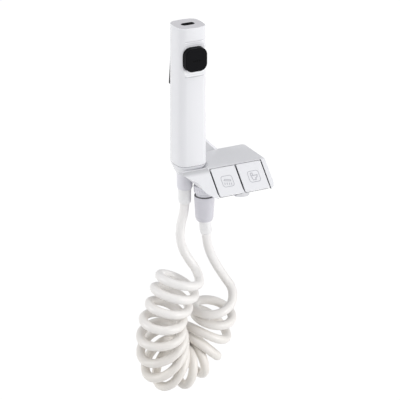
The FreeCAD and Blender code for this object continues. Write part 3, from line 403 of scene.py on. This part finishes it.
def distance_along(direction):
    """Distance from the crease, measured along one direction of the valve."""
    node = valve_tree.nodes.new("ShaderNodeVectorMath")
    node.operation = "DOT_PRODUCT"
    node.inputs[1].default_value = direction
    valve_tree.links.new(from_crease.outputs[0], node.inputs[0])
    return node.outputs["Value"]


slit_floor = -9.0 * mm
slit_mouth = -0.6 * mm
slit_top = 3.0 * mm
slit_bottom = 45.2 * mm
in_slit_depth = between(valve_tree, distance_along(slope_out), slit_floor, slit_mouth)
in_slit_length = between(valve_tree, distance_along(slope_down), slit_top, slit_bottom)
in_pocket = between(valve_tree, place_parts(valve_tree)["X"], pocket_left, pocket_right)
slit_shade_band = both(valve_tree, both(valve_tree, in_slit_depth, in_slit_length), in_pocket)
# Painted shade in the slits.
tint_where(valve_tree, slit_shade_band, (0.16, 0.16, 0.175))
dress(["valve_housing", "key_sprayer", "key_tank"], valve_plastic)

# %% [markdown]
# The buttress behind the handset stands in the handset's shade, so its front face is painted as grey as the
# valve's top, as painted shade. Its upper edge slants down to the right, and a light rim is left unpainted
# along it.

# %% Buttress face
across_the_slant = Vector((1.017, 0, 1))
face_far = -80.0 * mm
face_rim = 2.6 * mm
face_low = 14.2 * mm
face_high = 46.0 * mm
face_front = -8.0 * mm
face_back = -1.65 * mm
inside_rim = between(valve_tree, distance_along(across_the_slant), face_far, face_rim)
above_top = between(valve_tree, place_parts(valve_tree)["Z"], face_low, face_high)
at_front = between(valve_tree, place_parts(valve_tree)["Y"], face_front, face_back)
buttress_shade_band = both(valve_tree, inside_rim, both(valve_tree, above_top, at_front))
# Painted shade on the buttress's front face, inside the rim.
tint_where(valve_tree, buttress_shade_band, (0.57, 0.57, 0.585))
print("shade_painted face from z", face_low, "to", face_high)

# %% [markdown]
# On the wing the edge between top and slope is a soft roll. Its shade is painted: a grey like the top's
# carries past the crease and fades out over the first millimetres of the slope.

# %% Wing edge
wing_left = -70.0 * mm
roll_under = -1.3 * mm
roll_over = 0.8 * mm
fade_start = 1.2 * mm
fade_end = 7.5 * mm
roll = valve_tree.nodes.new("ShaderNodeMapRange")
roll.interpolation_type = "SMOOTHSTEP"
roll.inputs["From Min"].default_value = fade_start
roll.inputs["From Max"].default_value = fade_end
roll.inputs["To Min"].default_value = 1.0
roll.inputs["To Max"].default_value = 0.0
valve_tree.links.new(distance_along(slope_down), roll.inputs["Value"])
beside_keys = between(valve_tree, place_parts(valve_tree)["X"], wing_left, pocket_left)
at_surface = between(valve_tree, distance_along(slope_out), roll_under, roll_over)
roll_shade_band = both(valve_tree, roll.outputs["Result"], both(valve_tree, beside_keys, at_surface))
# Painted shade on the roll, fading out down the slope.
tint_where(valve_tree, roll_shade_band, (0.55, 0.55, 0.565))
print("wing from x", wing_left, "to", round(pocket_left, 4))

# %% [markdown]
# Each key is a shallow tray, and its side walls run down almost to its lower edge. The last part of these
# walls stands clear of the cover and closes the slit, so that no light shows through it from below. Every
# cheek is a small block whose lower inner edge is lifted, so that it tapers towards the key's tip.

# %% Key cheeks
cheek_length = 9.6 * mm
cheek_depth = 5.6 * mm
cheek_lift = 4.2 * mm
cheek_down = 31.9 * mm
cheek_under = 5.7 * mm
cheek_outer = 1.42 * mm
cheek_inner = 2.2 * mm
slope_angle = math.radians(45)


def clear_mesh_selection(kind):
    """Leave nothing selected inside the active mesh, and choose what is selected next."""
    bpy.ops.object.mode_set(mode="EDIT")
    bpy.ops.mesh.select_mode(type=kind)
    bpy.ops.mesh.select_all(action="DESELECT")
    bpy.ops.object.mode_set(mode="OBJECT")


def joined(parts):
    """Join the parts into one piece that lies at the origin, unturned."""
    bpy.ops.object.select_all(action="DESELECT")
    for part in parts:
        part.select_set(True)
    bpy.context.view_layer.objects.active = parts[0]
    bpy.ops.object.join()
    bpy.ops.object.transform_apply(location=True, rotation=True, scale=True)
    return bpy.context.object


def key_cheek(low_x, high_x):
    """Tapering end of a key's side wall, on the slope of the keys."""
    bpy.ops.mesh.primitive_cube_add(size=1, location=(0, 0, 0))
    cheek = bpy.context.object
    cheek.scale = (high_x - low_x, cheek_length, cheek_depth)
    bpy.ops.object.transform_apply(location=False, rotation=False, scale=True)
    clear_mesh_selection("VERT")
    for vertex in cheek.data.vertices:
        vertex.select = vertex.co.y < 0 and vertex.co.z < 0
    bpy.ops.object.mode_set(mode="EDIT")
    bpy.ops.transform.translate(value=(0, 0, cheek_lift))
    bpy.ops.object.mode_set(mode="OBJECT")
    middle_x = Vector(((low_x + high_x) / 2, 0, 0))
    cheek.location = crease + middle_x + slope_down * cheek_down - slope_out * cheek_under
    cheek.rotation_euler = (slope_angle, 0, 0)
    return cheek


for key, body in (("key_sprayer", "sprayer_key"), ("key_tank", "tank_key")):
    low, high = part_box(key)
    left = key_cheek(low.x + cheek_outer, low.x + cheek_inner)
    right = key_cheek(high.x - cheek_inner, high.x - cheek_outer)
    cheeks = joined([left, right])
    cheeks.name = key + "_cheeks"
    cheeks.data.materials.append(valve_plastic)
    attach(cheeks, body)
    print(cheeks.name, "faces", len(cheeks.data.polygons))

# %% [markdown]
# The thumb pad, the squeeze lever and the jet's slot are a deep, fine-grained black that hardly reflects,
# so the pad reads as one dark shape. The rubber parts are a little greyer and duller, as rubber is once it
# has been wet and dried a few times, and the ring above the nut is the greyest of the dark parts.

# %% Black parts
black_plastic = finish("black_plastic", (0.004, 0.004, 0.005), (0.007, 0.007, 0.008), 0.5, 0.08, 60.0,
                       1200.0, 0.05)
shader_of(black_plastic).inputs["Specular IOR Level"].default_value = 0.05
dress(["mode_button", "trigger_lever", "jet_nozzle"], black_plastic)
rubber = finish("rubber", (0.02, 0.02, 0.02), (0.035, 0.035, 0.035), 0.6, 0.08, 90.0, 1500.0, 0.15)
dress(["outlet_washer", "stem_seal_sprayer", "stem_seal_tank", "plunger_seal", "jet_lip"], rubber)
ring_black = finish("ring_black", (0.06, 0.06, 0.065), (0.09, 0.09, 0.095), 0.45, 0.08, 90.0, 1500.0, 0.1)
dress(["neck_ring"], ring_black)

# %% [markdown]
# A short level groove crosses the pad just under its middle, where the thumb rests. At this size it reads
# as a line of deeper black, which is the groove's shade, and it is smoother. So its shade is painted as a
# strip of darker, smoother black that stands out by less than a tenth of a millimetre, with its edges
# rounded off.

# %% Thumb groove
groove_place = Vector((pad_middle.x + 0.7 * mm, pad_low.y, pad_middle.z - 0.9 * mm))
groove_size = (11.0 * mm, 0.16 * mm, 1.0 * mm)
groove_edge = 0.07 * mm
bpy.ops.object.select_all(action="DESELECT")
bpy.ops.mesh.primitive_cube_add(size=1, location=groove_place)
groove = bpy.context.object
groove.name = "thumb_groove"
groove.scale = groove_size
bpy.ops.object.transform_apply(location=True, rotation=True, scale=True)
bpy.ops.object.mode_set(mode="EDIT")
bpy.ops.mesh.select_all(action="SELECT")
bpy.ops.mesh.bevel(offset=groove_edge, segments=2)
bpy.ops.object.mode_set(mode="OBJECT")
# Painted shade: the groove's shadow is a darker black strip, with a lower roughness.
groove_shade_black = finish("groove_shade_black", (0.001, 0.001, 0.001), (0.002, 0.002, 0.002), 0.3, 0.05, 200.0,
                        1500.0, 0.02)
shader_of(groove_shade_black).inputs["Specular IOR Level"].default_value = 0.05
groove.data.materials.append(groove_shade_black)
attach(groove, "button")
print("groove at", [round(v, 4) for v in groove_place])

# %% [markdown]
# The tailpiece and the small steel pieces are metal. Plated brass is bright with faint casting waves, and
# drawn steel is duller. The inner waterway and the cartridges are moulded in acetal, a dull, slightly
# yellow white.

# %% Metals and acetal
plated = finish("plated_brass", (0.72, 0.72, 0.74), (0.62, 0.62, 0.65), 0.22, 0.08, 40.0, 500.0, 0.08, 1.0)
dress(["hose_tailpiece"], plated)
steel = finish("drawn_steel", (0.60, 0.60, 0.62), (0.50, 0.50, 0.52), 0.35, 0.08, 120.0, 1600.0, 0.1, 1.0)
dress(["base_screws", "key_axle", "stem_sprayer", "stem_tank", "key_spring_sprayer", "key_spring_tank",
       "trigger_pin", "trigger_plunger", "trigger_spring", "button_spring", "inlet_filter"], steel)
acetal = finish("acetal", (0.78, 0.78, 0.76), (0.72, 0.72, 0.70), 0.45, 0.05, 60.0, 900.0, 0.05)
dress(["waterway", "cartridge_sprayer", "cartridge_tank", "mode_spool"], acetal)

# %% [markdown]
# The casting is plated brass too, but its two outlet collars are coated in white enamel to match the cover.
# The bare plating begins again at the threads, so one material changes from metal to enamel by height.

# %% Enamelled casting
enamel_low = -30.0 * mm
enamel_high = -13.5 * mm
casting = finish("enamelled_casting", (0.72, 0.72, 0.74), (0.62, 0.62, 0.65), 0.26, 0.08, 40.0, 500.0, 0.08,
                 1.0)
casting_tree = casting.node_tree
enamelled = between(casting_tree, place_parts(casting_tree)["Z"], enamel_low, enamel_high)
tint_where(casting_tree, enamelled, (0.76, 0.755, 0.795))
bare = casting_tree.nodes.new("ShaderNodeMath")
bare.operation = "SUBTRACT"
bare.inputs[0].default_value = 1.0
casting_tree.links.new(enamelled, bare.inputs[1])
casting_tree.links.new(bare.outputs[0], shader_of(casting).inputs["Metallic"])
dress(["manifold"], casting)

# %% [markdown]
# Each key carries a picture in thin grey lines that says what it opens: a spray head over falling water,
# and a seat with its lid. They are printed films, a tenth of a millimetre thick. Every line is a thin bar
# with rounded ends, laid on the sloping key. Where two bars meet, one lies a hair higher, so their faces
# never fall together.

# %% Picture lines
film = 0.12 * mm
film_lift = 0.3 * film
layer_step = 0.012 * mm
same_place = 1e-6
end_rounding = 0.45


def on_key(x, down):
    """Point on the keys' sloping face, x across and down along the slope, both in millimetres."""
    return crease + Vector((x * mm, 0, 0)) + slope_down * (down * mm) + slope_out * film_lift


def key_line(x1, down1, x2, down2, layer=0, width=0.9):
    """Thin bar between two points on the key, a hair higher for each layer so that ends overlap cleanly."""
    line_middle = on_key((x1 + x2) / 2, (down1 + down2) / 2) + slope_out * (layer * layer_step)
    bpy.ops.mesh.primitive_cube_add(size=1, location=line_middle)
    bar = bpy.context.object
    bar.scale = ((math.hypot(x2 - x1, down2 - down1) + width) * mm, width * mm, film)
    bpy.ops.object.transform_apply(location=False, rotation=False, scale=True)
    clear_mesh_selection("EDGE")
    corners = [vertex.co.xy.copy() for vertex in bar.data.vertices]
    for edge in bar.data.edges:
        first, second = edge.vertices
        edge.select = (corners[first] - corners[second]).length < same_place
    bpy.ops.object.mode_set(mode="EDIT")
    bpy.ops.mesh.bevel(offset=end_rounding * width * mm, segments=3)
    bpy.ops.mesh.select_mode(type="VERT")
    bpy.ops.object.mode_set(mode="OBJECT")
    bar.rotation_mode = "ZYX"
    bar.rotation_euler = (slope_angle, 0, math.atan2(down1 - down2, x2 - x1))
    return bar


# %% [markdown]
# Round each picture runs a border with rounded corners. It starts as a plate whose corners are bevelled. An
# inset makes a second outline inside it, the face within is deleted, and the band that is left gets the
# film's thickness.

# %% Picture border
def key_frame(x, down, half_x, half_down, round_r=3.4, width=0.75):
    """Rounded square outline lying on the key."""
    bpy.ops.mesh.primitive_plane_add(size=1, location=on_key(x, down))
    ring = bpy.context.object
    ring.scale = (2 * half_x * mm, 2 * half_down * mm, 1)
    ring.rotation_euler = (slope_angle, 0, 0)
    bpy.ops.object.transform_apply(location=False, rotation=True, scale=True)
    bpy.ops.object.mode_set(mode="EDIT")
    bpy.ops.mesh.select_all(action="SELECT")
    bpy.ops.mesh.bevel(offset=round_r * mm, segments=5, affect="VERTICES")
    bpy.ops.mesh.select_all(action="SELECT")
    bpy.ops.mesh.inset(thickness=width * mm)
    bpy.ops.mesh.delete(type="FACE")
    bpy.ops.object.mode_set(mode="OBJECT")
    thick = ring.modifiers.new("film", "SOLIDIFY")
    thick.thickness = film
    thick.offset = 0
    bpy.ops.object.modifier_apply(modifier="film")
    return ring


# %% [markdown]
# Border and lines of a picture are joined into one piece that rocks with its key. The end points of the
# lines are given one by one on the key, because the pictures are only a few dots tall in the photograph.

# %% Key pictures
def key_picture(name, body, border, lines):
    """Border and lines of one picture, printed in one piece on one key."""
    bars = [key_line(*ends, layer=number) for number, ends in enumerate(lines)]
    picture = joined([border] + bars)
    picture.name = name
    picture.data.materials.clear()
    picture.data.materials.append(print_grey)
    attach(picture, body)
    print(name, "faces", len(picture.data.polygons))


print_grey = finish("print_grey", (0.44, 0.44, 0.47), (0.50, 0.50, 0.53), 0.45, 0.05, 300.0, 1500.0, 0.03)

# One row a line: x and distance down the slope of its two ends, in millimetres
spray_lines = [(-18.8, 18.6, -17.4, 16.9), (-17.4, 16.9, -10.0, 18.9), (-10.0, 18.9, -10.3, 20.4),
               (-18.8, 18.6, -10.3, 20.4), (-18.6, 21.4, -19.0, 23.6), (-15.8, 21.9, -16.2, 24.1),
               (-13.0, 22.5, -13.4, 24.7), (-10.4, 23.0, -10.8, 25.0)]
seat_lines = [(17.4, 15.4, 19.8, 15.4), (17.4, 15.4, 17.4, 18.9), (19.8, 15.4, 19.8, 18.9),
              (17.4, 18.9, 25.6, 18.9), (25.6, 18.9, 24.7, 21.3), (24.7, 21.3, 22.2, 22.5),
              (22.2, 22.5, 22.8, 24.6), (17.4, 18.9, 18.6, 24.6), (18.6, 24.6, 22.8, 24.6)]
key_picture("sprayer_picture", "sprayer_key", key_frame(-14.5, 19.9, 7.6, 7.4), spray_lines)
key_picture("tank_picture", "tank_key", key_frame(21.0, 20.1, 7.6, 7.5), seat_lines)

# %% [markdown]
# The hose is a coiled tube of polyurethane, 11.2 mm thick. It leaves the handset's tail downwards, turns a
# little more than thirteen times round a hanging loop, and climbs back to the valve's outlet. A coil that
# hangs in a bend doesn't keep even turns: on the two legs they lie flat and close, and at the bottom they
# open like a fan with their inner ends crowded together. So each turn has its own centre, radius, direction
# and lean, and the points between are worked out smoothly from one turn to the next.

# %% Hose route
lead_from_handset = [(-46.0, -17.5, -41.0), (-46.7, -17.5, -52.0), (-51.6, -17.8, -68.0),
                     (-53.8, -18.8, -84.0), (-50.8, -21.5, -100.0), (-43.8, -26.2, -114.5),
                     (-37.8, -29.6, -124.0), (-37.2, -38.8, -132.6)]
lead_to_valve = [(2.1, -51.4, -170.0), (7.9, -41.1, -156.6), (2.0, -33.0, -145.0), (-9.0, -31.8, -127.0),
                 (-17.6, -31.2, -109.0), (-22.9, -31.0, -93.0), (-24.1, -31.0, -79.5)]
# One row a turn: centre x and z, radius, direction across in degrees, lean of its front, centre y
turns = [(-63.5, -133.6, 24.5, -21, 2.0, -35.4), (-70.9, -148.8, 25.1, -21, 2.7, -36.5),
         (-80.8, -164.4, 23.3, -16, 4.4, -40.0), (-89.3, -179.0, 24.0, -6, 6.0, -43.8),
         (-89.6, -197.2, 26.2, 10, 6.5, -41.6), (-84.8, -215.7, 29.9, 34, 6.0, -33.0),
         (-81.0, -234.3, 31.1, 43, 2.6, -31.9), (-73.5, -246.4, 28.8, 57, 2.9, -31.6),
         (-51.5, -252.8, 24.5, 75, 2.3, -29.4), (-36.8, -245.3, 26.4, 103, 5.8, -21.0),
         (-30.9, -229.7, 28.5, 139, 5.7, -23.7), (-16.2, -206.8, 25.5, 149, -3.7, -26.6),
         (-14.3, -188.5, 23.8, 173, -3.1, -31.6), (-18.1, -167.7, 22.7, 189, -4.8, -35.2)]
first_turn = 0.60
last_turn = 13.80
steps_per_turn = 18


def turn_values(k):
    """The six values at turn number k, smooth through the listed turns and carried on past both ends."""
    def row(i):
        if i < 1:
            return [a + (a - b) * (1 - i) for a, b in zip(turns[0], turns[1])]
        if i > len(turns):
            return [a + (a - b) * (i - len(turns)) for a, b in zip(turns[-1], turns[-2])]
        return turns[i - 1]
    first = int(max(1, min(len(turns) - 1, math.floor(k))))
    t = k - first
    values = []
    for p0, p1, p2, p3 in zip(row(first - 1), row(first), row(first + 1), row(first + 2)):
        values.append(0.5 * (2 * p1 + (p2 - p0) * t + (2 * p0 - 5 * p1 + 4 * p2 - p3) * t * t
                             + (3 * p1 - p0 - 3 * p2 + p3) * t ** 3))
    return values


def hose_point(k):
    """Point of the hose's middle line at turn number k."""
    centre_x, centre_z, radius, across, lean, centre_y = turn_values(k)
    angle = 2 * math.pi * (k - 0.5)
    across = math.radians(across)
    out = radius * math.cos(angle)
    front = math.sin(angle)
    x = centre_x + out * math.cos(across) + lean * front * math.sin(across)
    z = centre_z + out * math.sin(across) - lean * front * math.cos(across)
    return Vector((x, centre_y - radius * front, z)) * mm


route = [Vector(p) * mm for p in lead_from_handset]
steps = round((last_turn - first_turn) * steps_per_turn)
for i in range(steps + 1):
    route.append(hose_point(first_turn + (last_turn - first_turn) * i / steps))
route += [Vector(p) * mm for p in lead_to_valve]
print("hose route points:", len(route))

# %% [markdown]
# The tube is milky rather than solid white. Where its turns hang close together, light passes through
# several walls and comes back creamier, and the lower turns stand more in shade, while the free ends stay
# pale. This is painted light and shade: a blend from pale to a darker cream over the height, without any
# real transparency.

# %% Hose skin
cream_start = -110.0 * mm
cream_end = -250.0 * mm
most_cream = 0.6
hose_skin = finish("hose_skin", (0.90, 0.885, 0.875), (0.87, 0.85, 0.825), 0.34, 0.06, 35.0, 600.0, 0.05)
skin_tree = hose_skin.node_tree
cream_shade_blend = skin_tree.nodes.new("ShaderNodeMapRange")
cream_shade_blend.inputs["From Min"].default_value = cream_start
cream_shade_blend.inputs["From Max"].default_value = cream_end
cream_shade_blend.inputs["To Max"].default_value = most_cream
skin_tree.links.new(place_parts(skin_tree)["Z"], cream_shade_blend.inputs["Value"])
# Painted light and shade: the lower turns are tinted darker and creamier.
tint_where(skin_tree, cream_shade_blend.outputs["Result"], (0.80, 0.75, 0.675))
print("cream share from 0 to", most_cream)

# %% [markdown]
# The tube itself is a round section drawn along the route. The smooth line cuts the corners of the route a
# little, so it is about one hundredth shorter than the straight steps between the points.

# %% Hose
hose_radius = 5.6 * mm
hose_line = bpy.data.curves.new("hose", "CURVE")
hose_line.dimensions = "3D"
spline = hose_line.splines.new("NURBS")
spline.points.add(len(route) - 1)
for point, place in zip(spline.points, route):
    point.co = (*place, 1)
spline.order_u = 3
spline.use_endpoint_u = True
spline.resolution_u = 4
hose_line.bevel_depth = hose_radius
hose_line.bevel_resolution = 5
hose_line.use_fill_caps = True
hose_line.materials.append(hose_skin)
hose = bpy.data.objects.new("hose", hose_line)
bpy.context.collection.objects.link(hose)
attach(hose, "root")
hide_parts("hose_lead_upper", "hose_coil", "hose_lead_lower")

# %% [markdown]
# At the end the size of the finished part is measured from its pieces.

# %% Finish
low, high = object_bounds()
